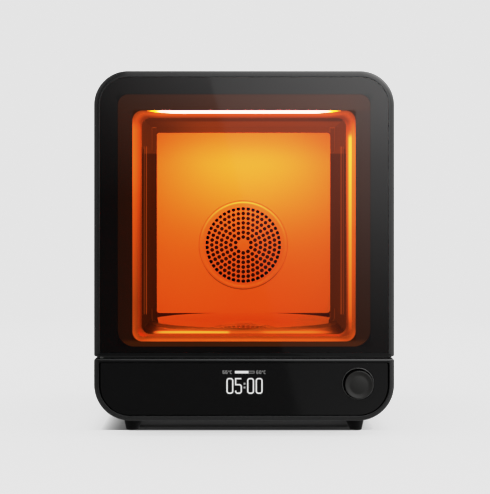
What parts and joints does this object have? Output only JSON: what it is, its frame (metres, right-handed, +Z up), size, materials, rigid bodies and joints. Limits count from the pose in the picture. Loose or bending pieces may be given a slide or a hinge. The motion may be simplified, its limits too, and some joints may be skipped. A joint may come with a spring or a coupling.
{
  "type": "heated light-cure cabinet",
  "caption": "Bench-top heated light-cure cabinet: rounded black box with a hinged amber door, lit chamber with glass turntable and air grille, dark control panel with one knob.",
  "frame": {"origin": "centre of the footprint on the table, under the middle of the overall box", "axes": "+X to the right of someone facing the door, -Y out of the door towards them, +Z up"},
  "size_m": [0.275, 0.307, 0.335],
  "materials": {
    "casing_plastic": "fine satin moulded texture, charcoal black",
    "gloss_black": "polished black panel",
    "dark_plastic": "matte black moulding",
    "rubber": "matte black rubber",
    "steel": "plain steel, light brush",
    "reflector": "bright satin reflector sheet",
    "dark_steel": "dark bronze baked enamel",
    "amber_pane": "clear amber, light-blocking, polished",
    "clear_glass": "polished clear glass",
    "diffuser": "lit opal light bar",
    "light_window": "smoked light cover",
    "circuit_board": "green solder mask",
    "bronze": "sintered bronze"
  },
  "bodies": {
    "cabinet": {"upper_casing": "casing_plastic", "base_housing": "casing_plastic", "rear_cover": "dark_plastic", "foot_front_left": "rubber", "foot_front_right": "rubber", "foot_rear_left": "rubber", "foot_rear_right": "rubber", "cover_screw_1": "steel", "cover_screw_2": "steel", "cover_screw_3": "steel", "cover_screw_4": "steel", "chassis_plate": "steel", "upper_hinge_bracket": "steel", "upper_hinge_pin": "steel", "lower_hinge_pin": "steel", "control_fascia": "gloss_black", "display_module": "dark_plastic", "control_board": "circuit_board", "encoder_body": "dark_plastic", "knob_bezel": "dark_plastic", "chamber_flange": "dark_steel", "chamber_lip": "reflector", "chamber_left_wall": "dark_steel", "chamber_right_wall": "dark_steel", "chamber_ceiling": "dark_steel", "chamber_floor": "dark_steel", "chamber_back_panel": "reflector", "fan_grille": "reflector", "left_light_cover": "light_window", "right_light_cover": "light_window", "top_light_cover": "diffuser", "left_light_board": "circuit_board", "right_light_board": "circuit_board", "top_light_board": "circuit_board", "shaft_bushing": "bronze", "turntable_motor": "steel", "circulation_fan_housing": "steel", "circulation_motor": "steel", "heater_coil": "steel", "temperature_sensor": "steel", "main_board": "circuit_board", "power_supply": "steel", "power_cable": "rubber", "power_inlet": "dark_plastic", "cooling_fan_frame": "dark_plastic"},
    "door": {"door_frame": "casing_plastic", "door_pane": "amber_pane", "door_mask": "gloss_black", "door_liner": "dark_plastic", "door_seal": "rubber", "door_magnet": "steel"},
    "turntable_drive": {"turntable_hub": "dark_plastic", "drive_shaft": "steel"},
    "turntable_plate": {"turntable_glass": "clear_glass"},
    "encoder_ring": {"encoder_rotor": "dark_plastic"},
    "knob": {"control_knob": "dark_plastic", "encoder_shaft": "steel"},
    "circulation_fan": {"circulation_impeller": "dark_plastic"},
    "cooling_fan": {"cooling_fan_rotor": "dark_plastic"},
    "rocker": {"power_rocker": "gloss_black"}
  },
  "joints": [
    {"name": "door_hinge", "type": "hinge", "parent": "cabinet", "child": "door", "pos_m": [-0.1315, -0.128, 0.2], "axis": [0, 0, -1], "range_deg": [0, 110]},
    {"name": "turntable_spin", "type": "hinge", "parent": "cabinet", "child": "turntable_drive", "pos_m": [0, -0.0105, 0.09], "axis": [0, 0, 1], "continuous": true},
    {"name": "turntable_lift", "type": "slide", "parent": "turntable_drive", "child": "turntable_plate", "axis": [0, 0, 1], "range_m": [0, 0.025]},
    {"name": "knob_turn", "type": "hinge", "parent": "cabinet", "child": "encoder_ring", "pos_m": [0.1043, -0.134, 0.0488], "axis": [0, 1, 0], "continuous": true},
    {"name": "knob_press", "type": "slide", "parent": "encoder_ring", "child": "knob", "axis": [0, 1, 0], "range_m": [0, 0.0008], "stiffness_N_per_m": 1500},
    {"name": "circulation_fan_spin", "type": "hinge", "parent": "cabinet", "child": "circulation_fan", "pos_m": [0, 0.113, 0.1705], "axis": [0, 1, 0], "continuous": true},
    {"name": "cooling_fan_spin", "type": "hinge", "parent": "cabinet", "child": "cooling_fan", "pos_m": [0.07, 0.143, 0.045], "axis": [0, 1, 0], "continuous": true},
    {"name": "power_rocker_tilt", "type": "hinge", "parent": "cabinet", "child": "rocker", "pos_m": [-0.109, 0.147, 0.045], "axis": [1, 0, 0], "range_deg": [-16, 0]}
  ]
}
